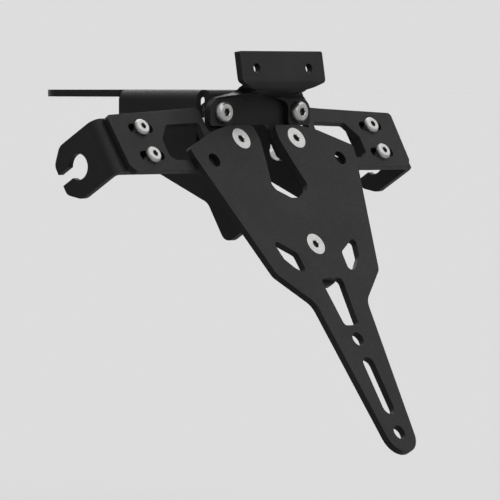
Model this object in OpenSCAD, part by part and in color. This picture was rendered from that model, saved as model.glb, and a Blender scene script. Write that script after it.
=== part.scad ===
// Motorbike tail tidy: a bracket under the tail that carries a number plate,
// a plate light and two indicators. Origin: centre of the tail mounting holes
// on the top face. +Z up, +Y towards the front of the bike, +X to its right.

/* [Sheet metal] */
// Thickness of every sheet
sheet_t = 3; // [2.5:0.25:3.5]
// Inner radius of the bends
bend_r = 1.5; // [1:0.25:2]
// Radius of the laser-cut corners
corner_r = 2; // [0.5:0.25:3]

/* [Plate plane] */
// Lean of the number plate from vertical
plate_lean = 30.8; // [26:0.4:34]
// Distance from the tail holes' centre back to the carrier's top screws
plate_reach = 60; // [56:1:70]
// Drop from the tail mounting face to the carrier's top screws
plate_drop = 20.5; // [20:0.5:26]

/* [Number plate carrier] */
// Distance between the top carrier screws
top_screw_span = 35.4; // [34:0.2:38]
// Distance from the top carrier screws down to the lower one
lower_screw_drop = 51.9; // [48:0.5:56]
// Width of the carrier at its shoulders
carrier_w = 105; // [98:1:112]
// Width of the carrier at its waist
waist_w = 66; // [60:1:72]
// Distance from the top screws down to the waist
waist_drop = 65.6; // [62:0.5:70]
// Width of the tail where it leaves the waist
neck_w = 33; // [31:0.5:36]
// Width of the tail at its round end
tip_w = 16.2; // [14:0.2:20]
// Distance from the top screws down to the tail's last hole
tip_drop = 142.4; // [138:0.2:152]
// Height of the arms above the top screws
arm_rise = 6.5; // [6:0.25:7]
// Width of the gap between the arms at the top screws
gap_w = 12; // [10:0.5:14]
// Depth of the gap below the top screws
gap_drop = 29.3; // [27:0.1:31]
// Diameter of the plate holes in the carrier
plate_hole_d = 6.4; // [5.4:0.2:7]
// Distance between the upper plate holes
plate_hole_span = 81; // [76:1:86]
// Distance from the top screws down to the upper plate holes
plate_hole_drop = 10.3; // [9:0.3:12]
// Length of the slot in the tail
tail_slot_l = 27; // [20:1:28]

/* [Indicator bar] */
// Overall length of the bar
bar_w = 183; // [176:1:200]
// Height of the bar above the top screws at its ends
bar_rise = 13.7; // [12.5:0.3:15.5]
// Depth of the bar below the top screws
bar_drop = 13.3; // [12.8:0.5:15.8]
// Distance from the bar's end in to the indicator screws
indicator_inset = 17.8; // [17:0.2:20]
// Height of the upper indicator screw above the top carrier screws
indicator_screw_rise = 7.2; // [6.6:0.2:8]
// Distance between the two indicator screws on one side
indicator_screw_pitch = 13.2; // [12.6:0.2:14]
// Length of each adjusting slot
indicator_slot_l = 14.5; // [12:0.5:16]

/* [Indicator brackets] */
// Distance that a bracket's flange stands out past the bar's end
bracket_stand = 4.5; // [4:0.5:8]
// Height of a bracket's sheet
bracket_h = 25.5; // [25:0.5:29]
// Reach of a bracket's flange in front of the bar
bracket_reach = 29.5; // [29:0.5:36]
// Diameter of the hole for the indicator stem
stem_d = 11; // [10:0.5:12]
// Width of the stem hole's cable slot
stem_slot_w = 5.2; // [4:0.2:5.4]

/* [Light bracket] */
// Width of the light plate
light_plate_w = 53; // [50:1:60]
// Height of the light plate's top edge above the tail mounting face
light_plate_rise = 16.5; // [15:0.5:20]
// Distance from the light plate's top edge down to its bend
light_plate_h = 16.5; // [15:0.5:18]
// Distance between the light holes
light_hole_span = 33.4; // [30:0.4:36]
// Diameter of the light holes
light_hole_d = 4.3; // [3.5:0.1:5]
// Distance the light plate stands behind the light bracket's feet
light_reach = 14.4; // [12:0.3:17]
// Tilt of the light plate from vertical
light_tilt = 9.5; // [5:0.5:14]
// Distance from the base bracket's side in to the light bracket's bolt
light_bolt_inset = 7.8; // [7.2:0.2:8.6]

/* [Base bracket] */
// Width across the outer faces of the sides
base_w = 64; // [63:0.5:68]
// Distance from the tail holes' centre to the front edge
base_front = 46; // [42:1:60]
// Length of the sides below the top plate
side_l = 50; // [44:1:56]
// Depth of the sides in front of the bar at their lower end
side_depth = 13.5; // [12:0.5:16]
// Distance from the top screws down to the sides' lower end
side_drop = 40.3; // [38:0.5:43]
// Rise of the sides' lower edge towards the front
side_rise_angle = 23.4; // [21:0.4:26]
// Distance between the tail holes across the bike
tail_hole_span_x = 40; // [36:1:42]
// Distance between the tail holes along the bike
tail_hole_span_y = 60; // [50:1:66]
// Diameter of the tail holes
tail_hole_d = 6.6; // [5.5:0.1:8.5]

/* [Fasteners] */
// Thread diameter of the carrier and light bracket screws
big_d = 5; // [4:0.5:5]
// Thread diameter of the indicator screws
small_d = 4; // [3:0.5:4]
// Length of the thread that shows past each nut
thread_show = 1.5; // [0.5:0.25:2.5]

/* [Hidden] */

// Facets of a full circle, and the angle that one edge of a rounded corner turns
$fn = 48;
corner_step = 11.25;
// A hair of extra length where a cutter passes a face
over = 1;
// Radial gap between a thread and its nut, and between a screw and its hole
thread_gap = 0.05;
hole_gap = 0.25;

// Outer radius of a bend
bend_out = bend_r + sheet_t;
// Proportions of the screws and nuts, from their thread diameter
cap_head_w = 1.9;
cap_head_h = 0.55;
sunk_head_w = 2;
socket_w = 0.6;
socket_depth = 0.38;
nut_w = 1.6;
nut_h = 0.8;
collar_h = 0.2;
washer_w = 2.2;
washer_t = small_d * 0.2;

// Height of the base bracket's lower bend above the top screws, so that a nut fits under it
web_top = nut_w * big_d / 2 + sheet_t * 0.5;

// Colours of the powder coat and of the steel fasteners
coat = [0.13, 0.13, 0.14];
coat_inner = [0.1, 0.1, 0.11];
steel = [0.75, 0.75, 0.74];

// Plan points: [x, y, corner radius] lists become smooth outlines

function flat(p) = [p[0], p[1]];
function unit(v) = v / norm(v);

// Points that replace corner b, between a and c, by an arc of radius r
function corner(a, b, c, r) =
    let (u = unit(a - b), v = unit(c - b), half = acos(u * v) / 2)
    let (reach = min(r / tan(half), 0.49 * min(norm(a - b), norm(c - b))))
    let (radius = reach * tan(half), centre = b + unit(u + v) * radius / sin(half))
    let (from = b + u * reach - centre, start = atan2(from[1], from[0]))
    let (turn = 180 - 2 * half, side = u[0] * v[1] - u[1] * v[0] < 0 ? 1 : -1)
    let (steps = max(1, ceil(turn / corner_step)))
    r <= 0 ? [b] : [for (i = [0:steps])
        centre + radius * [cos(start + side * turn * i / steps), sin(start + side * turn * i / steps)]];

function rounded(pts) =
    let (n = len(pts))
    [for (i = [0:n - 1])
        each corner(flat(pts[(i + n - 1) % n]), flat(pts[i]), flat(pts[(i + 1) % n]), pts[i][2])];

// A half outline on the +x side, closed by its mirror image
function both_sides(half) =
    concat(half, [for (i = [len(half) - 1:-1:0]) [-half[i][0], half[i][1], half[i][2]]]);

// Outline of bent sheet: a path along one face, thickened to its left, or to its right
// where t is negative, with both radii at each bend
function left_of(a, b) = let (d = unit(b - a)) [-d[1], d[0]];
function turn_at(a, b, c) = (b[0] - a[0]) * (c[1] - b[1]) - (b[1] - a[1]) * (c[0] - b[0]);
function bent(path, t) =
    let (last = len(path) - 1)
    let (outer = [for (i = [1:last - 1]) turn_at(path[i - 1], path[i], path[i + 1]) * t > 0])
    let (normals = [for (i = [0:last - 1]) left_of(path[i], path[i + 1])])
    let (back = [for (i = [0:last])
        let (m = normals[max(i - 1, 0)], n = normals[min(i, last - 1)])
        path[i] + (m + n) * t / (1 + m * n)])
    concat(
        [for (i = [0:last]) [path[i][0], path[i][1],
            i == 0 || i == last ? 0 : outer[i - 1] ? bend_out : bend_r]],
        [for (i = [last:-1:0]) [back[i][0], back[i][1],
            i == 0 || i == last ? 0 : outer[i - 1] ? bend_r : bend_out]]
    );

// Placing

// The plane of the number plate: x across, y up the plate, z out of its face,
// with the origin midway between the carrier's top screws
module on_plate() {
    translate([0, -plate_reach, -plate_drop])
        rotate([90 - plate_lean, 0, 0])
            children();
}

// One layer of the stack: 0 is the carrier, 1 the bar, 2 what lies behind it
module layer(n) {
    translate([0, 0, -(n + 1) * sheet_t])
        linear_extrude(sheet_t)
            children();
}

// A profile drawn in Y and Z, run across the bike between two X values
module across(x0, x1) {
    translate([x0, 0, 0])
        rotate([90, 0, 90])
            linear_extrude(x1 - x0)
                children();
}

// A profile drawn in X and Z, run along the bike between two Y values
module along(y0, y1) {
    translate([0, y1, 0])
        rotate([90, 0, 0])
            linear_extrude(y1 - y0)
                children();
}

module mirrored() {
    children();
    mirror([1, 0, 0]) children();
}

// Y and Z of a point that lies down the plate by drop and behind its face by back
function plate_yz(drop, back) = [
    -plate_reach + back * cos(plate_lean) - drop * sin(plate_lean),
    -plate_drop - back * sin(plate_lean) - drop * cos(plate_lean)
];

module hole_at(x, y, d) {
    translate([x, y, -4 * sheet_t])
        cylinder(d = d, h = 8 * sheet_t);
}

module slot_2d(l, w) {
    translate([-(l - w) / 2, 0]) circle(d = w);
    translate([(l - w) / 2, 0]) circle(d = w);
    square([l - w, w], center = true);
}

// Fasteners, each along Z with its seat at z = 0 and its thread below

module socket(d, top) {
    translate([0, 0, top - d * socket_depth])
        cylinder(d = d * socket_w / cos(30), h = d * socket_depth + over, $fn = 6);
}

module button_screw(d, l) {
    head_r = cap_head_w * d / 2;
    head_h = cap_head_h * d;
    color(steel) difference() {
        union() {
            translate([0, 0, -l]) cylinder(d = d, h = l + head_h / 2);
            rotate_extrude() polygon(concat(
                [[0, 0], [head_r, 0]],
                [for (a = [0:15:60]) [head_r * (0.45 + 0.55 * cos(a)), head_h * (0.2 + 0.8 * sin(a) / sin(60))]],
                [[0, head_h]]
            ));
        }
        socket(d, head_h);
    }
}

module sunk_screw(d, l) {
    head_r = sunk_head_w * d / 2;
    color(steel) difference() {
        rotate_extrude() polygon([
            [0, -l], [d / 2, -l], [d / 2, d / 2 - head_r], [head_r, 0], [0, 0]
        ]);
        socket(d, 0);
    }
}

// The flats face x, or y where turn is 30
module lock_nut(d, turn = 0) {
    body_h = nut_h * d;
    inner = d / 2 + thread_gap;
    ring_r = nut_w * d / 2;
    color(steel) rotate([180, 0, turn]) difference() {
        union() {
            intersection() {
                rotate([0, 0, 30]) cylinder(d = nut_w * d / cos(30), h = body_h, $fn = 6);
                rotate_extrude() polygon([
                    [0, 0], [ring_r, 0], [ring_r * 1.16, ring_r * 0.09],
                    [ring_r * 1.16, body_h - ring_r * 0.09], [ring_r, body_h], [0, body_h]
                ]);
            }
            translate([0, 0, body_h - over / 2])
                cylinder(d1 = nut_w * d * 0.92, d2 = nut_w * d * 0.8, h = collar_h * d + over / 2);
        }
        translate([0, 0, -over]) cylinder(r = inner, h = body_h + collar_h * d + 2 * over);
    }
}

module washer(d) {
    color(steel) difference() {
        translate([0, 0, -washer_t]) cylinder(d = washer_w * d, h = washer_t);
        translate([0, 0, -washer_t - over]) cylinder(r = d / 2 + hole_gap, h = washer_t + 2 * over);
    }
}

// Where things are fixed

base_x = base_w / 2;
lower_screw_y = -lower_screw_drop;
top_screw_x = top_screw_span / 2;
big_nut_h = (nut_h + collar_h) * big_d;
small_nut_h = (nut_h + collar_h) * small_d;
stack_3 = 3 * sheet_t;
indicator_x = bar_w / 2 - indicator_inset;
indicator_ys = [indicator_screw_rise, indicator_screw_rise - indicator_screw_pitch];

// Rear face of the base bracket's upright web, and the light bracket's feet on it
web_y = plate_yz(-web_top, 2 * sheet_t)[0];
foot_bottom = plate_yz(-arm_rise, sheet_t)[1] + 1.2;
light_bolt_z = foot_bottom + cap_head_w * big_d / 2 + sheet_t * 0.35;
light_bolt_x = base_w / 2 - light_bolt_inset;
foot_top = light_bolt_z + cap_head_w * big_d / 2 + bend_r;

// Number plate carrier

shoulder_x = carrier_w / 2;
waist_x = waist_w / 2;
neck_x = neck_w / 2;
tip_x = tip_w / 2;
neck_drop = waist_drop + 14.4;
gap_x = gap_w / 2;

module carrier_outline() {
    polygon(rounded(both_sides([
        [2.5, -gap_drop, 2],
        [gap_x + 3.9, 4 - gap_drop, corner_r],
        [gap_x + 5.3, 6.7 - gap_drop, corner_r],
        [gap_x + 2.5, -12, 12],
        [gap_x, 0, 12],
        [gap_x + 1, arm_rise, corner_r],
        [top_screw_x + 4.3, arm_rise, 6],
        [top_screw_x + 15.3, arm_rise - 2.5, 12],
        [shoulder_x, -4, corner_r],
        [shoulder_x - 1, -9, corner_r],
        [waist_x, -waist_drop, 5],
        [neck_x, -neck_drop, 8],
        [tip_x, -tip_drop - tip_x - 1.2, 1.12 * tip_x]
    ])));
}

// Lightening slot beside the lower screw, one for each side
module side_slot() {
    polygon(rounded([
        [waist_x - 18.8, -lower_screw_drop - 4.2, corner_r],
        [waist_x - 8.6, 1.9 - lower_screw_drop, corner_r / 2],
        [waist_x - 6.9, 0.3 - lower_screw_drop, corner_r / 2],
        [waist_x - 8.8, -lower_screw_drop - 6.7, corner_r],
        [waist_x - 13.2, -waist_drop + 2.6, corner_r],
        [waist_x - 19.4, -waist_drop - 0.6, corner_r]
    ]));
}

module tail_window() {
    polygon(rounded(both_sides([
        [neck_x - 9.65, -waist_drop - 3, corner_r],
        [neck_x - 11.95, -waist_drop - 25.6, corner_r]
    ])));
}

tail_hole_y = -waist_drop - 32.3;
tail_slot_y = (tail_hole_y - tip_drop) / 2;
tail_slot_w = plate_hole_d + 0.4;

module plate_carrier() {
    color(coat) on_plate() difference() {
        layer(0) difference() {
            carrier_outline();
            mirrored() side_slot();
            tail_window();
            translate([0, tail_slot_y]) rotate(90) slot_2d(tail_slot_l, tail_slot_w);
        }
        mirrored() hole_at(plate_hole_span / 2, -plate_hole_drop, plate_hole_d);
        hole_at(0, tail_hole_y, plate_hole_d);
        hole_at(0, -tip_drop, plate_hole_d);
        for (p = carrier_screws()) translate([p[0], p[1], 0]) sunk_cutter(big_d);
    }
}

function carrier_screws() = [[-top_screw_x, 0], [top_screw_x, 0], [0, lower_screw_y]];

// Thickness of the sheets that each of them clamps: the lower one misses the base bracket
function clamped(i) = (i < 2 ? 3 : 2) * sheet_t;

// Clearance hole with its countersink, level with the face at z = 0
module sunk_cutter(d) {
    head_r = sunk_head_w * d / 2 + hole_gap / 4;
    bore_r = d / 2 + hole_gap;
    rotate_extrude() polygon([
        [0, -4 * sheet_t], [bore_r, -4 * sheet_t], [bore_r, bore_r - head_r],
        [head_r, 0], [head_r, over], [0, over]
    ]);
}

// Indicator bar

bar_x = bar_w / 2;
tongue_end = -waist_drop - 4.7;
tongue_r = 8;

module bar_outline() {
    notch_x = base_x + 0.8;
    notch_y = web_top - 0.4;
    polygon(rounded(both_sides([
        [gap_x - 2, -0.5 - gap_drop, 3],
        [gap_x + 7, 4 - gap_drop, 3],
        [gap_x + 5, -12, 12],
        [gap_x + 3, notch_y, corner_r],
        [notch_x, notch_y, corner_r],
        [notch_x, bar_rise + 3.6, corner_r],
        [shoulder_x - 8, bar_rise + 2.6, 8],
        [bar_x - 0.4, bar_rise, corner_r],
        [bar_x - 1.6, 3 - bar_drop, corner_r],
        [bar_x - 4.5, -bar_drop, corner_r],
        [shoulder_x - 4, -bar_drop, 8],
        [shoulder_x - 13, -bar_drop - 3, 6],
        [14, lower_screw_y + 12, 8],
        [tongue_r + 2.5, lower_screw_y + 6, 4],
        [tongue_r, tongue_end, tongue_r]
    ])));
}

// Opening between the bar's arm and its outer end
module bar_opening() {
    inner = base_x + 4.5;
    outer = indicator_x - indicator_slot_l / 2 - 3.2;
    polygon(rounded([
        [inner, bar_rise - 4.2, corner_r],
        [outer - 6, bar_rise - 5, corner_r],
        [outer, 2, corner_r],
        [outer, 7 - bar_drop, corner_r],
        [outer - 3.5, 5 - bar_drop, corner_r],
        [inner + 6, 5 - bar_drop, corner_r],
        [inner, 9 - bar_drop, corner_r]
    ]));
}

module indicator_bar() {
    color(coat) on_plate() difference() {
        layer(1) difference() {
            bar_outline();
            mirrored() bar_opening();
            mirrored() for (y = indicator_ys)
                translate([indicator_x, y]) slot_2d(indicator_slot_l, small_d + 2 * hole_gap);
        }
        for (p = carrier_screws()) hole_at(p[0], p[1], big_d + 2 * hole_gap);
    }
}

// Indicator brackets

bracket_x = bar_w / 2 + bracket_stand;
bracket_mid = (indicator_ys[0] + indicator_ys[1]) / 2 + 0.45;
bracket_top = bracket_mid + bracket_h / 2;
bracket_low = bracket_mid - bracket_h / 2;
stem_back = bracket_reach - 11.5;

// The flange's shape in its own plane: x forwards from the bar's rear face, y up the plate
module flange_outline() {
    nose = stem_slot_w / 2 + 0.4;
    difference() {
        polygon(rounded([
            [-over, bracket_low, 0],
            [bracket_reach - 6.5, bracket_low, 5],
            [bracket_reach, bracket_mid - nose - 4, 4],
            [bracket_reach, bracket_mid + nose + 4, 4],
            [bracket_reach - 6.5, bracket_top, 5],
            [-over, bracket_top, 0]
        ]));
        translate([stem_back, bracket_mid - stem_slot_w / 2])
            square([bracket_reach, stem_slot_w]);
    }
}

module indicator_bracket() {
    inner_x = indicator_x - indicator_slot_l / 2 - 3;
    on_plate() difference() {
        intersection() {
            translate([0, bracket_top + over, -2 * sheet_t])
                rotate([90, 0, 0])
                    linear_extrude(bracket_h + 2 * over)
                        polygon(rounded(bent([
                            [bracket_x, -bracket_reach], [bracket_x, 0], [inner_x, 0]
                        ], sheet_t)));
            union() {
                translate([bracket_x - bend_out - over, 0, -2 * sheet_t])
                    rotate([0, 90, 0])
                        linear_extrude(bend_out + 2 * over)
                            flange_outline();
                translate([0, 0, -3 * sheet_t - over])
                    linear_extrude(sheet_t + 2 * over)
                        polygon(rounded([
                            [inner_x, bracket_low, corner_r],
                            [bracket_x - bend_out, bracket_low, 0],
                            [bracket_x - bend_out, bracket_top, 0],
                            [inner_x, bracket_top, corner_r]
                        ]));
            }
        }
        for (y = indicator_ys) hole_at(indicator_x, y, small_d + 2 * hole_gap);
        translate([bracket_x - sheet_t - over, bracket_mid, -2 * sheet_t - stem_back])
            rotate([0, 90, 0])
                cylinder(d = stem_d, h = sheet_t + 2 * over);
    }
}

module indicator_bracket_right() {
    color(coat_inner) indicator_bracket();
}

module indicator_bracket_left() {
    color(coat_inner) mirror([1, 0, 0]) indicator_bracket();
}

// Light bracket: two feet, legs that meet in a neck, and the light plate

light_low = light_plate_rise - light_plate_h;
light_y = web_y - sheet_t - light_reach;
light_lean = light_plate_h * tan(light_tilt);
light_plate_x = light_plate_w / 2;
light_hole_drop = 7.3;
leg_hole_x = 13;

module light_bracket_front() {
    neck = light_plate_x / 2;
    foot_in = light_bolt_x - 6.2;
    crotch = light_low - 2.2;
    polygon(rounded(both_sides([
        [3.5, crotch, 2],
        [foot_in, foot_top - 2, 4],
        [foot_in, foot_bottom, corner_r],
        [base_w / 2, foot_bottom, corner_r],
        [base_w / 2, foot_top - 3.5, 4],
        [base_w / 2 - 4, foot_top, 3],
        [neck, light_low - 0.6, 4],
        [light_plate_x - 7, light_low + 1, corner_r],
        [light_plate_x, light_low + 3.4, corner_r],
        [light_plate_x, light_plate_rise, corner_r / 2]
    ])));
}

module light_bracket() {
    color(coat) difference() {
        intersection() {
            across(-base_w, base_w) polygon(rounded(bent([
                [web_y - sheet_t, foot_bottom],
                [web_y - sheet_t, foot_top],
                [light_y, light_low],
                [light_y + light_lean, light_plate_rise]
            ], -sheet_t)));
            along(light_y - sheet_t, web_y + sheet_t) light_bracket_front();
        }
        for (x = [-light_bolt_x, light_bolt_x])
            translate([x, web_y - 2 * sheet_t, light_bolt_z])
                rotate([-90, 0, 0]) cylinder(d = big_d + 2 * hole_gap, h = 3 * sheet_t);
        translate([0, light_y, light_low]) rotate([-90 - light_tilt, 0, 0])
            for (x = [-light_hole_span / 2, light_hole_span / 2])
                translate([x, -(light_plate_h - light_hole_drop) / cos(light_tilt), -sheet_t])
                    cylinder(d = light_hole_d, h = 3 * sheet_t);
        for (x = [-leg_hole_x, leg_hole_x])
            translate([x, web_y - sheet_t - light_reach * 0.55, light_low - 3 * sheet_t])
                cylinder(d = 4.5, h = 4 * sheet_t);
    }
}

// Base bracket: top plate, two sides, and a web that is bent onto the plate plane

web_x = base_x - sheet_t;
side_rear_y = web_y + bend_out + 0.5;
side_front_y = web_y + side_l;
web_low_drop = side_drop - 4;
web_window_z = plate_yz(0, 2 * sheet_t)[1] + 8.6;

module side_outline() {
    heel = plate_yz(side_drop, 2 * sheet_t + side_depth);
    knee = plate_yz(side_drop / 2, 2 * sheet_t + side_depth);
    toe = plate_yz(side_drop, 2 * sheet_t);
    step = plate_yz(3, 2 * sheet_t);
    polygon(rounded([
        [side_rear_y, over, 0],
        [side_rear_y, step[1] + 1, 2],
        [step[0], step[1], 1],
        [toe[0], toe[1], 2],
        [heel[0], heel[1], 4.5],
        [knee[0], knee[1], 6],
        [side_front_y, knee[1] + (side_front_y - knee[0]) * tan(side_rise_angle), 7],
        [side_front_y, over, 0]
    ]));
}

// Top plate and sides, folded from one blank
module base_channel() {
    low = plate_yz(side_drop, 2 * sheet_t + side_depth)[1] - over;
    intersection() {
        along(-2 * plate_reach - side_drop, side_front_y)
            polygon(rounded(bent([
                [base_x, low], [base_x, 0], [-base_x, 0], [-base_x, low]
            ], sheet_t)));
        across(-base_w, base_w) side_outline();
    }
}

// Flat front of the top plate, which takes the front pair of tail holes
module base_tongue() {
    flat_x = base_x - bend_out;
    translate([0, 0, -sheet_t]) linear_extrude(sheet_t)
        polygon(rounded(both_sides([
            [flat_x, side_front_y - bend_out, 0],
            [flat_x, side_front_y + 1.5, 1],
            [base_x, side_front_y + 1.5, corner_r],
            [base_x, base_front, 10]
        ])));
}

// Web from the top plate down to the plate plane, where it ends between the sides
module base_web() {
    difference() {
        across(-web_x, web_x) polygon(rounded(bent([
            [side_rear_y, 0],
            [web_y, 0],
            plate_yz(-web_top, 2 * sheet_t),
            plate_yz(side_drop + over, 2 * sheet_t)
        ], sheet_t)));
        on_plate() translate([0, 0, -4 * sheet_t]) linear_extrude(3 * sheet_t) difference() {
            translate([-base_w, -2 * side_drop]) square([2 * base_w, 2 * side_drop]);
            polygon(rounded(both_sides([
                [base_x, over, 0],
                [base_x, -web_low_drop, 4],
                [base_x - 14, -side_drop, 4]
            ])));
        }
    }
}

module base_bracket() {
    color(coat_inner) difference() {
        union() {
            base_channel();
            base_tongue();
            base_web();
        }
        // Cable window through the web and down behind the carrier's gap
        along(web_y - 2 * sheet_t, web_y + 2 * sheet_t) polygon(rounded(both_sides([
            [gap_x + 5, web_window_z, 3],
            [gap_x + 5, web_window_z - 20, 0]
        ])));
        on_plate() translate([0, 0, -4 * sheet_t]) linear_extrude(3 * sheet_t)
            polygon(rounded(both_sides([
                [gap_x + 2, -1.2, 0],
                [gap_x + 11.5, -10, 4],
                [gap_x + 11.5, 3.5 - gap_drop, 4],
                [gap_x + 6, -gap_drop - 4.5, 4]
            ])));
        // Cable window and tail holes in the top plate
        translate([0, 0, -2 * sheet_t]) linear_extrude(3 * sheet_t)
            polygon(rounded(both_sides([
                [tail_hole_span_x / 2 - 8, -tail_hole_span_y / 2 + 10, 6],
                [tail_hole_span_x / 2 - 8, tail_hole_span_y / 2 - 10, 6]
            ])));
        for (x = [-1, 1], y = [-1, 1])
            translate([x * tail_hole_span_x / 2, y * tail_hole_span_y / 2, -2 * sheet_t])
                cylinder(d = tail_hole_d, h = 3 * sheet_t);
        for (x = [-light_bolt_x, light_bolt_x])
            translate([x, web_y - sheet_t, light_bolt_z])
                rotate([-90, 0, 0]) cylinder(d = big_d + 2 * hole_gap, h = 3 * sheet_t);
        on_plate() for (x = [-top_screw_x, top_screw_x]) hole_at(x, 0, big_d + 2 * hole_gap);
    }
}

// Fasteners in place

module carrier_screw(i) {
    on_plate() translate([carrier_screws()[i][0], carrier_screws()[i][1], 0])
        sunk_screw(big_d, clamped(i) + big_nut_h + thread_show);
}

module carrier_nut(i) {
    on_plate() translate([carrier_screws()[i][0], carrier_screws()[i][1], -clamped(i)])
        lock_nut(big_d, 30);
}

module on_web(x, y) {
    translate([x, y, light_bolt_z]) rotate([90, 0, 0]) children();
}

module light_bracket_bolt(side) {
    on_web(side * light_bolt_x, web_y - sheet_t)
        button_screw(big_d, 2 * sheet_t + big_nut_h + thread_show);
}

module light_bracket_nut(side) {
    on_web(side * light_bolt_x, web_y + sheet_t) lock_nut(big_d);
}

module at_indicator(side, i, depth) {
    on_plate() translate([side * indicator_x, indicator_ys[i], -depth]) children();
}

module indicator_screw(side, i) {
    at_indicator(side, i, sheet_t)
        button_screw(small_d, 2 * sheet_t + washer_t + small_nut_h + thread_show);
}

module indicator_washer(side, i) {
    at_indicator(side, i, stack_3) washer(small_d);
}

module indicator_nut(side, i) {
    at_indicator(side, i, stack_3 + washer_t) lock_nut(small_d);
}

base_bracket();
indicator_bar();
plate_carrier();
light_bracket();
indicator_bracket_left();
indicator_bracket_right();
carrier_screw(0);  // carrier_screw_top_left
carrier_screw(1);  // carrier_screw_top_right
carrier_screw(2);  // carrier_screw_lower
carrier_nut(0);  // carrier_nut_top_left
carrier_nut(1);  // carrier_nut_top_right
carrier_nut(2);  // carrier_nut_lower
light_bracket_bolt(-1);  // light_bracket_bolt_left
light_bracket_bolt(1);  // light_bracket_bolt_right
light_bracket_nut(-1);  // light_bracket_nut_left
light_bracket_nut(1);  // light_bracket_nut_right
indicator_screw(-1, 0);  // indicator_screw_left_upper
indicator_screw(-1, 1);  // indicator_screw_left_lower
indicator_screw(1, 0);  // indicator_screw_right_upper
indicator_screw(1, 1);  // indicator_screw_right_lower
indicator_washer(-1, 0);  // indicator_washer_left_upper
indicator_washer(-1, 1);  // indicator_washer_left_lower
indicator_washer(1, 0);  // indicator_washer_right_upper
indicator_washer(1, 1);  // indicator_washer_right_lower
indicator_nut(-1, 0);  // indicator_nut_left_upper
indicator_nut(-1, 1);  // indicator_nut_left_lower
indicator_nut(1, 0);  // indicator_nut_right_upper
indicator_nut(1, 1);  // indicator_nut_right_lower
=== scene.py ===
"""Looks of the tail tidy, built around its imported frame. Lengths are in metres."""
import math

import bmesh
import bpy
from mathutils import Matrix, Vector


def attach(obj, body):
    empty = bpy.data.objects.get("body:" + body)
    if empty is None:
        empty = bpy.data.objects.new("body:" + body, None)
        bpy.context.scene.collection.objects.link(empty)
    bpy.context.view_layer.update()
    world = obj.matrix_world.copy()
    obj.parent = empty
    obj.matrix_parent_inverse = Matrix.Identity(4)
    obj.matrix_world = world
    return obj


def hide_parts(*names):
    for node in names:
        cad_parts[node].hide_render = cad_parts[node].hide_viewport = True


MM = 0.001

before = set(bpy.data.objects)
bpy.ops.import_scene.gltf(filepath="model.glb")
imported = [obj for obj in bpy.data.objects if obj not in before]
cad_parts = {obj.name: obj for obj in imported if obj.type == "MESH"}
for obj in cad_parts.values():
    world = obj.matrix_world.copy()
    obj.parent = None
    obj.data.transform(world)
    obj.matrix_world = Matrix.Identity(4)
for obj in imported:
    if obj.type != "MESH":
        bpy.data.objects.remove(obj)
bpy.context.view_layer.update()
scene = bpy.context.scene

# The frame's own sizes, which place the fasteners

SHEET_T = 3 * MM
PLATE_LEAN = math.radians(30.8)
PLATE_ORIGIN = Vector((0, -60 * MM, -20.5 * MM))
WEB_Y = -52.03 * MM
LIGHT_BOLT_Z = -9.453 * MM
LIGHT_BOLT_X = 24.2 * MM
TOP_SCREW_X = 17.7 * MM
LOWER_SCREW_DROP = 51.9 * MM
INDICATOR_X = 73.7 * MM
INDICATOR_Y = {"upper": 7.2 * MM, "lower": -6 * MM}
BIG_D = 5 * MM
SMALL_D = 4 * MM
BIG_PITCH = 0.8 * MM
SMALL_PITCH = 0.7 * MM
WASHER_T = 0.8 * MM
THREAD_SHOW = 1.5 * MM
THREAD_GAP = 0.05 * MM
HOLE_GAP = 0.25 * MM

# Proportions of the fasteners, from their thread diameter

BUTTON_R = 0.95
BUTTON_H = 0.55
SUNK_R = 1
SOCKET_APOTHEM = 0.3
SOCKET_DEPTH = 0.38
NUT_APOTHEM = 0.8
NUT_BODY_H = 0.8
COLLAR_R = 0.74
WASHER_R = 1.1

# Proportions of a thread, from its pitch

THREAD_DEPTH = 0.6
TIP_CHAMFER = 0.9

# Facets round a fastener, and rings for each turn of its thread

SEGMENTS = 48
RINGS_A_TURN = 8


# Node materials


def feed(tree, socket, value):
    """Links a node's output to a socket, or sets the socket to a constant."""
    if isinstance(value, bpy.types.NodeSocket):
        tree.links.new(value, socket)
    else:
        socket.default_value = value


class Nodes:
    """Short calls for building one material's node tree."""

    def __init__(self, name):
        self.material = bpy.data.materials.new(name)
        self.material.use_nodes = True
        self.tree = self.material.node_tree
        self.shader = self.tree.nodes["Principled BSDF"]

    def add(self, kind, **sockets):
        node = self.tree.nodes.new(kind)
        for name, value in sockets.items():
            feed(self.tree, node.inputs[name.replace("_", " ")], value)
        return node

    def place(self, scale=(1, 1, 1)):
        where = self.add("ShaderNodeTexCoord")
        mapping = self.add("ShaderNodeMapping", Vector=where.outputs["Object"], Scale=scale)
        return mapping.outputs["Vector"]

    def noise(self, vector, scale, detail=3.0, roughness=0.5):
        made = self.add("ShaderNodeTexNoise", Vector=vector, Scale=scale, Detail=detail,
                        Roughness=roughness)
        return made.outputs["Fac"]

    def remap(self, value, low, high, to_low, to_high):
        made = self.add("ShaderNodeMapRange", Value=value, From_Min=low, From_Max=high,
                        To_Min=to_low, To_Max=to_high)
        return made.outputs["Result"]

    def ramp(self, value, stops):
        made = self.add("ShaderNodeValToRGB", Fac=value)
        elements = made.color_ramp.elements
        while len(elements) < len(stops):
            elements.new(0.5)
        for element, (position, colour) in zip(elements, stops):
            element.position = position
            element.color = (*colour, 1)
        return made.outputs["Color"]

    def bump(self, height, strength, distance, normal=None):
        made = self.add("ShaderNodeBump", Height=height, Strength=strength, Distance=distance)
        if normal is not None:
            self.tree.links.new(normal, made.inputs["Normal"])
        return made.outputs["Normal"]

    def math(self, operation, a, b):
        made = self.tree.nodes.new("ShaderNodeMath")
        made.operation = operation
        feed(self.tree, made.inputs[0], a)
        feed(self.tree, made.inputs[1], b)
        return made.outputs["Value"]

    def set(self, name, value):
        feed(self.tree, self.shader.inputs[name], value)


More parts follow.
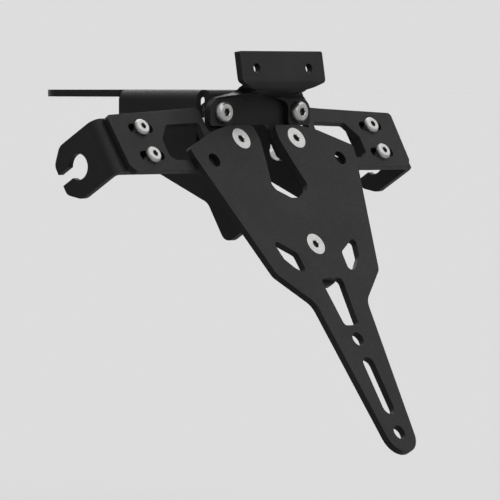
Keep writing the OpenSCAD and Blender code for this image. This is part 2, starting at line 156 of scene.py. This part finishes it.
def powder_coat():
    """Satin black powder coat: fine grain over a soft orange peel."""
    n = Nodes("powder_coat")
    at = n.place()
    cloud = n.noise(at, 45, 2)
    peel = n.noise(at, 620, 2, 0.45)
    grain = n.noise(at, 2600, 3, 0.6)
    speck = n.add("ShaderNodeTexVoronoi", Vector=at, Scale=1900.0)
    tone = n.math("ADD", n.math("MULTIPLY", cloud, 0.45), n.math("MULTIPLY", grain, 0.55))
    n.set("Base Color", n.ramp(tone, [
        (0.36, (0.0125, 0.0125, 0.0128)),
        (0.52, (0.018, 0.018, 0.0184)),
        (0.68, (0.026, 0.026, 0.0264)),
    ]))
    n.set("Roughness", n.remap(n.math("ADD", peel, n.math("MULTIPLY", cloud, 0.5)),
                               0.45, 1.05, 0.44, 0.6))
    n.set("Specular IOR Level", 0.1)
    peel_normal = n.bump(peel, 0.12, 0.1 * MM)
    speck_normal = n.bump(speck.outputs["Distance"], 0.1, 0.05 * MM, peel_normal)
    n.set("Normal", n.bump(grain, 0.22, 0.05 * MM, speck_normal))
    return n.material


def turned_steel(name, colour, darker, low_gloss, high_gloss):
    """Bright steel with fine turning rings round its own axis and faint handling marks."""
    n = Nodes(name)
    at = n.place()
    rings = n.add("ShaderNodeTexWave", Vector=at, Scale=900.0, Distortion=0.6, Detail=2.0)
    rings.wave_type = "RINGS"
    rings.rings_direction = "Z"
    stain = n.noise(at, 260, 4, 0.6)
    scuff = n.noise(n.place((1, 1, 3)), 1500, 3, 0.7)
    n.set("Base Color", n.ramp(stain, [(0.3, darker), (0.62, colour)]))
    n.set("Metallic", 1.0)
    n.set("Roughness", n.remap(n.math("ADD", stain, scuff), 0.7, 1.3, low_gloss, high_gloss))
    ring_normal = n.bump(rings.outputs["Fac"], 0.05, 0.02 * MM)
    n.set("Normal", n.bump(scuff, 0.08, 0.02 * MM, ring_normal))
    return n.material


def nylon():
    """Milky nylon with a little light inside, as in the ring of a lock nut."""
    n = Nodes("nylon")
    at = n.place()
    cloud = n.noise(at, 700, 3)
    n.set("Base Color", n.ramp(cloud, [(0.35, (0.52, 0.55, 0.58)), (0.65, (0.66, 0.68, 0.7))]))
    n.set("Roughness", n.remap(cloud, 0.3, 0.7, 0.42, 0.55))
    n.set("Subsurface Weight", 0.15)
    n.set("Subsurface Scale", 0.5 * MM)
    n.set("Normal", n.bump(cloud, 0.1, 0.05 * MM))
    return n.material


COAT = powder_coat()
STAINLESS = turned_steel("stainless_steel", (0.39, 0.387, 0.381), (0.295, 0.292, 0.286), 0.3, 0.46)
ZINC = turned_steel("zinc_steel", (0.62, 0.63, 0.64), (0.47, 0.48, 0.5), 0.26, 0.44)
NYLON = nylon()
# Painted shade: a darker steel colour for the socket's recess, standing in for the shade inside
# the deep hole.
SOCKET_PAINTED_SHADE = turned_steel("socket_painted_shade", (0.13, 0.13, 0.128), (0.05, 0.05, 0.05), 0.4, 0.6)


# Ring meshes, each along local Z


def hexagon(apothem, turn=0):
    """The radius of a hexagon in each ring angle, with a corner at turn degrees."""
    radii = []
    for i in range(SEGMENTS):
        off_flat = (360 * i / SEGMENTS - turn) % 60 - 30
        radii.append(apothem / math.cos(math.radians(off_flat)))
    return radii


def skin(name, rings, loop=False, crease=32):
    """A mesh through rings of (radius, height), where either may be one number per angle.
    A radius of 0 is a point that closes an end; loop joins the last ring to the first."""
    verts, starts = [], []
    for radius, height in rings:
        starts.append(len(verts))
        if radius == 0:
            verts.append((0, 0, height))
            continue
        for i in range(SEGMENTS):
            r = radius[i] if isinstance(radius, list) else radius
            z = height[i] if isinstance(height, list) else height
            angle = 2 * math.pi * i / SEGMENTS
            verts.append((r * math.cos(angle), r * math.sin(angle), z))
    faces = []
    pairs = [(k, k + 1) for k in range(len(rings) - 1)]
    if loop:
        pairs.append((len(rings) - 1, 0))
    for low, high in pairs:
        a, b = starts[low], starts[high]
        for i in range(SEGMENTS):
            j = (i + 1) % SEGMENTS
            if rings[low][0] == 0:
                faces.append((a, b + j, b + i))
            elif rings[high][0] == 0:
                faces.append((a + i, a + j, b))
            else:
                faces.append((a + i, a + j, b + j, b + i))
    mesh = bpy.data.meshes.new(name)
    mesh.from_pydata(verts, [], faces)
    built = bmesh.new()
    built.from_mesh(mesh)
    bmesh.ops.recalc_face_normals(built, faces=built.faces)
    built.to_mesh(mesh)
    built.free()
    mesh.shade_smooth()
    mesh.set_sharp_from_angle(angle=math.radians(crease))
    return mesh


def lined(mesh, outside, inside, low, high, reach):
    """Gives a mesh its two materials: inside goes on the faces that lie between the
    heights low and high and within reach of the axis."""
    mesh.materials.append(outside)
    mesh.materials.append(inside)
    for face in mesh.polygons:
        radius = math.hypot(face.center.x, face.center.y)
        if low < face.center.z < high and radius < reach:
            face.material_index = 1
    return mesh


def socketed(mesh, d, top):
    """A screw in bright steel, with painted shade in its socket: a darker steel colour on the
    recess walls and floor.
    """
    return lined(mesh, STAINLESS, SOCKET_PAINTED_SHADE, top - 0.55 * d, top - 0.02 * d, 0.34 * d)


def thread(d, pitch, low, high):
    """Rings of a rounded helical thread from height low up to high, with a chamfered tip."""
    depth = THREAD_DEPTH * pitch
    chamfer = TIP_CHAMFER * pitch
    count = math.ceil((high - low) / pitch * RINGS_A_TURN)
    rings = [(0, low), (d / 2 - depth - 0.1 * MM, low)]
    for k in range(1, count):
        z = low + (high - low) * k / count
        room = min(1, (z - low) / chamfer)
        radii = []
        for i in range(SEGMENTS):
            wave = 0.5 + 0.5 * math.cos(2 * math.pi * (z / pitch + i / SEGMENTS))
            crest = d / 2 - depth * (1 - min(1, 1.25 * wave))
            radii.append(min(crest, d / 2 - depth * (1 - room)))
        rings.append((radii, z))
    return rings


def hex_socket(d, top):
    """Rings down into a hexagon socket with a lead-in chamfer and a drilled cone."""
    apothem = SOCKET_APOTHEM * d
    depth = SOCKET_DEPTH * d
    lead = 0.07 * d
    rim = apothem / math.cos(math.radians(30)) + 0.6 * lead
    return [
        (rim + 0.02 * d, top), (rim, top),
        (hexagon(apothem + 0.012 * d), top - 0.6 * lead),
        (hexagon(apothem), top - lead),
        (hexagon(apothem), top - depth + 0.02 * d),
        (hexagon(apothem - 0.02 * d), top - depth),
        (apothem * 0.8, top - depth),
        (0, top - depth - 0.12 * d),
    ]


def button_screw(name, d, pitch, length):
    """A button head screw. Its head stands on height 0 and its shank reaches down."""
    head_r, head_h = BUTTON_R * d, BUTTON_H * d
    edge = 0.03 * d
    rings = thread(d, pitch, -length, -0.3 * d)
    rings += [(d / 2, -0.28 * d), (d / 2, 0), (head_r - edge, 0), (head_r, edge)]
    rise = head_h - 0.2 * head_h
    for step in range(1, 13):
        angle = math.radians(5 * step)
        rings.append((head_r * (0.45 + 0.55 * math.cos(angle)),
                      0.2 * head_h + rise * math.sin(angle) / math.sin(math.radians(60))))
    rings.append((head_r * 0.69, head_h))
    return socketed(skin(name, rings + hex_socket(d, head_h)), d, head_h)


def sunk_screw(name, d, pitch, length):
    """A countersunk screw, with the top of its head at height 0."""
    head_r = SUNK_R * d
    land = 0.05 * d
    rings = thread(d, pitch, -length, -head_r / 2 - 0.3 * d)
    rings += [(d / 2, -head_r / 2 - 0.28 * d), (d / 2, -head_r / 2), (head_r, -land),
              (head_r, -0.4 * land), (head_r - 0.4 * land, 0), (head_r * 0.7, 0)]
    return socketed(skin(name, rings + hex_socket(d, 0)), d, 0)


def lock_nut(name, d, turn):
    """A hexagon nut with chamfered corners, and a collar rolled over its nylon ring.
    Its seat is at height 0, it reaches down, and it has a corner at turn degrees."""
    apothem = NUT_APOTHEM * d
    body_h, full_h = NUT_BODY_H * d, d
    bore = d / 2 + THREAD_GAP
    flats = hexagon(apothem, turn)
    slope = math.tan(math.radians(30))
    bite = [max(0, r - apothem * 1.01) * slope for r in flats]
    eased = [r - 0.02 * d for r in flats]
    low = [-body_h + b for b in bite]
    collar = COLLAR_R * d
    rings = [
        (bore + 0.09 * d, 0), (apothem * 0.97, 0),
        (eased, [-b - 0.004 * d for b in bite]), (flats, [-b - 0.03 * d for b in bite]),
        (flats, [z + 0.03 * d for z in low]), (eased, [z + 0.004 * d for z in low]),
        (apothem * 0.97, -body_h), (collar + 0.015 * d, -body_h),
        (collar, -body_h - 0.03 * d), (collar - 0.02 * d, -full_h + 0.08 * d),
        (collar - 0.06 * d, -full_h + 0.02 * d), (collar - 0.11 * d, -full_h),
        (collar - 0.15 * d, -full_h + 0.02 * d), (bore + 0.015 * d, -full_h + 0.045 * d),
        (bore, -full_h + 0.06 * d), (bore, -0.09 * d),
    ]
    mesh = skin(name, rings, loop=True, crease=30)
    return lined(mesh, ZINC, NYLON, -2 * d, -0.9 * d, 0.6 * d)


def washer(name, d):
    """A stamped washer under height 0, rounded on one side and sharper on the other."""
    inner, outer, t = d / 2 + HOLE_GAP, WASHER_R * d, WASHER_T
    edge = 0.12 * t
    mesh = skin(name, [
        (inner + edge, 0), (outer - edge, 0), (outer, -edge), (outer, -t + 0.3 * t),
        (outer - 0.25 * t, -t), (inner + 0.2 * t, -t), (inner, -t + 0.2 * t), (inner, -edge),
    ], loop=True)
    mesh.materials.append(ZINC)
    return mesh


# Where each fastener goes: its seat at the origin and its head or face along +Z

PLATE = Matrix.Translation(PLATE_ORIGIN) @ Matrix.Rotation(math.pi / 2 - PLATE_LEAN, 4, "X")


def on_plate(x, y, depth):
    """On the leaning plate plane: y runs up the plate and depth runs forward, into it."""
    return PLATE @ Matrix.Translation((x, y, -depth))


def on_web(x, y):
    """On the upright web, at the light bracket's bolts."""
    return Matrix.Translation((x, y, LIGHT_BOLT_Z)) @ Matrix.Rotation(math.pi / 2, 4, "X")


def stand_for(node, mesh, where):
    """Puts a detailed fastener where its plain one is."""
    piece = bpy.data.objects.new(node + "_fine", mesh)
    scene.collection.objects.link(piece)
    piece.matrix_world = where
    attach(piece, "root")
    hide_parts(node)


carrier_nut = lock_nut("carrier_nut", BIG_D, 0)
for place, x, y, sheets in (("top_left", -TOP_SCREW_X, 0, 3), ("top_right", TOP_SCREW_X, 0, 3),
                            ("lower", 0, -LOWER_SCREW_DROP, 2)):
    grip = sheets * SHEET_T
    carrier_screw = sunk_screw("carrier_screw_" + place, BIG_D, BIG_PITCH,
                               grip + BIG_D + THREAD_SHOW)
    stand_for("carrier_screw_" + place, carrier_screw, on_plate(x, y, 0))
    stand_for("carrier_nut_" + place, carrier_nut, on_plate(x, y, grip))

web_bolt = button_screw("light_bracket_bolt", BIG_D, BIG_PITCH,
                        2 * SHEET_T + BIG_D + THREAD_SHOW)
web_nut = lock_nut("light_bracket_nut", BIG_D, 30)
for place, side in (("left", -1), ("right", 1)):
    x = side * LIGHT_BOLT_X
    stand_for("light_bracket_bolt_" + place, web_bolt, on_web(x, WEB_Y - SHEET_T))
    stand_for("light_bracket_nut_" + place, web_nut, on_web(x, WEB_Y + SHEET_T))

bar_screw = button_screw("indicator_screw", SMALL_D, SMALL_PITCH,
                         2 * SHEET_T + WASHER_T + SMALL_D + THREAD_SHOW)
bar_nut = lock_nut("indicator_nut", SMALL_D, 30)
bar_washer = washer("indicator_washer", SMALL_D)
for side_name, side in (("left", -1), ("right", 1)):
    for height_name, y in INDICATOR_Y.items():
        place = side_name + "_" + height_name
        x = side * INDICATOR_X
        back = 3 * SHEET_T
        stand_for("indicator_screw_" + place, bar_screw, on_plate(x, y, SHEET_T))
        stand_for("indicator_washer_" + place, bar_washer, on_plate(x, y, back))
        stand_for("indicator_nut_" + place, bar_nut, on_plate(x, y, back + WASHER_T))


# The sheets stay as they are, with eased edges and their coat

EASED_EDGE = 0.35 * MM
SAME_POINT = 0.002 * MM
FLAT_SEAM = math.radians(0.4)
CUT_EDGE = math.radians(32)
SHEETS = ("base_bracket", "indicator_bar", "plate_carrier", "light_bracket",
          "indicator_bracket_left", "indicator_bracket_right")


def ease_edges(obj):
    """Joins the imported triangles, clears flat seams and rounds the cut edges.
    The last weld joins the points that the rounding lays on each other."""
    weld = obj.modifiers.new("weld", "WELD")
    weld.merge_threshold = SAME_POINT
    clear = obj.modifiers.new("clear", "DECIMATE")
    clear.decimate_type = "DISSOLVE"
    clear.angle_limit = FLAT_SEAM
    bevel = obj.modifiers.new("bevel", "BEVEL")
    bevel.width = EASED_EDGE
    bevel.segments = 3
    bevel.limit_method = "ANGLE"
    bevel.angle_limit = CUT_EDGE
    bevel.miter_outer = "MITER_ARC"
    seal = obj.modifiers.new("seal", "WELD")
    seal.merge_threshold = SAME_POINT
    normals = obj.modifiers.new("normals", "WEIGHTED_NORMAL")
    normals.weight = 60


for node in SHEETS:
    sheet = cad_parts[node]
    sheet.data.materials.clear()
    sheet.data.materials.append(COAT)
    ease_edges(sheet)


# Stage: floor, world, lamps and camera. The camera and mirrors see the world at BACKGROUND,
# and it lights the object at FILL. In the same way they see the floor's colour FLOOR_SEEN,
# and the floor lights the object with FLOOR_BOUNCE.

BACKGROUND = 0.723
FILL = 0.25
FLOOR_Z = -0.2
FLOOR_REACH = 60
FLOOR_SEEN = 0.594
FLOOR_BOUNCE = 0.2


def seen_directly(tree):
    """1 for rays from the camera, a mirror or glass, and 0 for light that falls on things."""
    ray = tree.nodes.new("ShaderNodeLightPath")
    seen = ray.outputs["Is Camera Ray"]
    for kind in ("Is Glossy Ray", "Is Transmission Ray"):
        larger = tree.nodes.new("ShaderNodeMath")
        larger.operation = "MAXIMUM"
        tree.links.new(seen, larger.inputs[0])
        tree.links.new(ray.outputs[kind], larger.inputs[1])
        seen = larger.outputs["Value"]
    return seen


def make_floor():
    """A pale floor that keeps the object's shadow."""
    mesh = bpy.data.meshes.new("floor")
    reach = FLOOR_REACH
    mesh.from_pydata([(-reach, -reach, 0), (reach, -reach, 0), (reach, reach, 0),
                      (-reach, reach, 0)], [], [(0, 1, 2, 3)])
    floor = bpy.data.objects.new("floor", mesh)
    floor.location.z = FLOOR_Z
    scene.collection.objects.link(floor)
    n = Nodes("floor_paper")
    n.set("Base Color", n.ramp(seen_directly(n.tree), [
        (0.0, (FLOOR_BOUNCE,) * 3), (1.0, (FLOOR_SEEN,) * 3)]))
    n.set("Roughness", 1.0)
    n.set("Specular IOR Level", 0.0)
    mesh.materials.append(n.material)


def make_world():
    """Even light from all round, in front of a pale background."""
    world = bpy.data.worlds.new("studio")
    scene.world = world
    world.use_nodes = True
    tree = world.node_tree
    level = tree.nodes.new("ShaderNodeMapRange")
    level.inputs["To Min"].default_value = FILL
    level.inputs["To Max"].default_value = BACKGROUND
    tree.links.new(seen_directly(tree), level.inputs["Value"])
    background = tree.nodes["Background"]
    background.inputs["Color"].default_value = (1, 1, 1, 1)
    tree.links.new(level.outputs["Result"], background.inputs["Strength"])


def sun(name, towards, strength, spread):
    """A soft lamp that shines from the direction towards, spread degrees wide."""
    data = bpy.data.lights.new(name, "SUN")
    data.energy = strength
    data.angle = math.radians(spread)
    lamp = bpy.data.objects.new(name, data)
    lamp.rotation_euler = Vector(towards).to_track_quat("Z", "Y").to_euler()
    scene.collection.objects.link(lamp)


# The photograph's viewpoint, as fitted to the screw heads. Places in the photograph are in
# its pixels: PHOTO_AIM is where PLATE_ORIGIN lies, and VIEW_PX round VIEW_CENTRE is framed.

AZIMUTH, ELEVATION, ROLL = math.radians(-48.44), math.radians(0.64), math.radians(0.04)
DISTANCE = 2.2
FOCAL_PX = 1650
PHOTO_AIM = Vector((263.63, 217.65))
VIEW_CENTRE = Vector((257.5, 253.5))
VIEW_PX = 160


def make_camera():
    """The photograph's viewpoint, framed on the tidy."""
    data = bpy.data.cameras.new("camera")
    camera = bpy.data.objects.new("camera", data)
    scene.collection.objects.link(camera)
    scene.camera = camera
    back = Vector((math.sin(AZIMUTH) * math.cos(ELEVATION),
                   -math.cos(AZIMUTH) * math.cos(ELEVATION), math.sin(ELEVATION)))
    turn = (-back).to_track_quat("-Z", "Y")
    offset = (VIEW_CENTRE - PHOTO_AIM) * DISTANCE / FOCAL_PX
    camera.location = PLATE_ORIGIN + back * DISTANCE
    aim = PLATE_ORIGIN + turn @ Vector((offset.x, -offset.y, 0))
    look = (aim - camera.location).to_track_quat("-Z", "Y")
    camera.rotation_mode = "QUATERNION"
    camera.rotation_quaternion = look @ Matrix.Rotation(ROLL, 3, "Z").to_quaternion()
    data.sensor_width = 36
    data.lens = FOCAL_PX * data.sensor_width / VIEW_PX
    data.clip_start, data.clip_end = 0.05, 200


make_floor()
make_world()
sun("key", (0.12, -0.62, 0.775), 2.35, 95)
sun("back", (0.35, 0.75, 0.55), 2.2, 70)
make_camera()

scene.view_settings.view_transform = "Standard"
